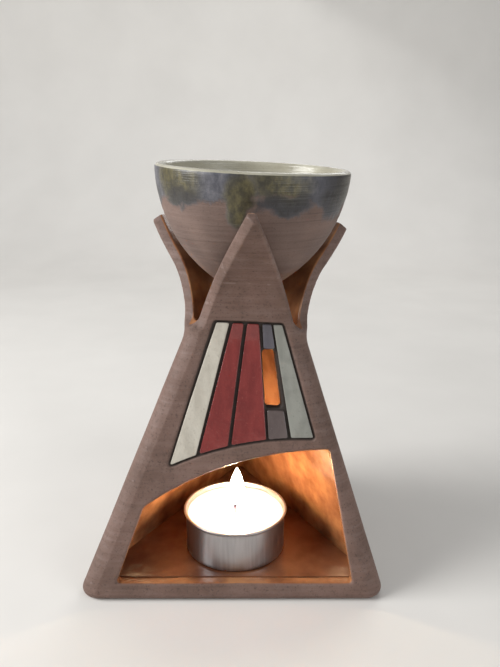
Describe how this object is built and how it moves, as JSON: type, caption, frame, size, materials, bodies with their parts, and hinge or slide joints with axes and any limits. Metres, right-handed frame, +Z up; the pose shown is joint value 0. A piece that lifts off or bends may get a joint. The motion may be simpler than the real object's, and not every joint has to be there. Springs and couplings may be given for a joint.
{
  "type": "essential oil burner",
  "caption": "Hand-built stoneware oil burner: a leaning three-sided stand with an arched mouth and striped panel holds a loose bowl over a tealight.",
  "frame": {"origin": "on the table under the stand, where the stand's own leaning axis meets it", "axes": "+Z up; -Y is the side with the candle mouth and the striped panel; +X to the right as seen from there"},
  "size_m": [0.1053, 0.1088, 0.146],
  "materials": {
    "clay": "matte, brushed",
    "floor_glaze": "gloss",
    "cream_glaze": "satin, mottled",
    "red_glaze": "gloss",
    "slate_glaze": "satin",
    "grey_green_glaze": "satin, speckled",
    "bowl_clay": "bare clay with a brushed band of glaze",
    "cup": "pressed foil",
    "wax": "smooth, translucent",
    "sustainer": "tinned",
    "wick": "braided cotton, charred tip"
  },
  "bodies": {
    "stand": {"front_slab": "clay", "left_slab": "clay", "right_slab": "clay", "floor_slab": "floor_glaze", "cream_stripe": "cream_glaze", "left_red_stripe": "red_glaze", "right_red_stripe": "red_glaze", "upper_slate_stripe": "slate_glaze", "lower_slate_stripe": "slate_glaze", "grey_green_stripe": "grey_green_glaze"},
    "bowl": {"bowl": "bowl_clay"},
    "tealight": {"tealight_cup": "cup", "tealight_wax": "wax", "wick_sustainer": "sustainer", "wick": "wick"}
  },
  "joints": [
    {"name": "bowl_lift", "type": "slide", "parent": "stand", "child": "bowl", "axis": [0.0401, 0, 0.9992], "range_m": [0, 0.06]},
    {"name": "tealight_slide", "type": "slide", "parent": "stand", "child": "tealight", "axis": [0, -1, 0], "range_m": [0, 0.07]}
  ]
}
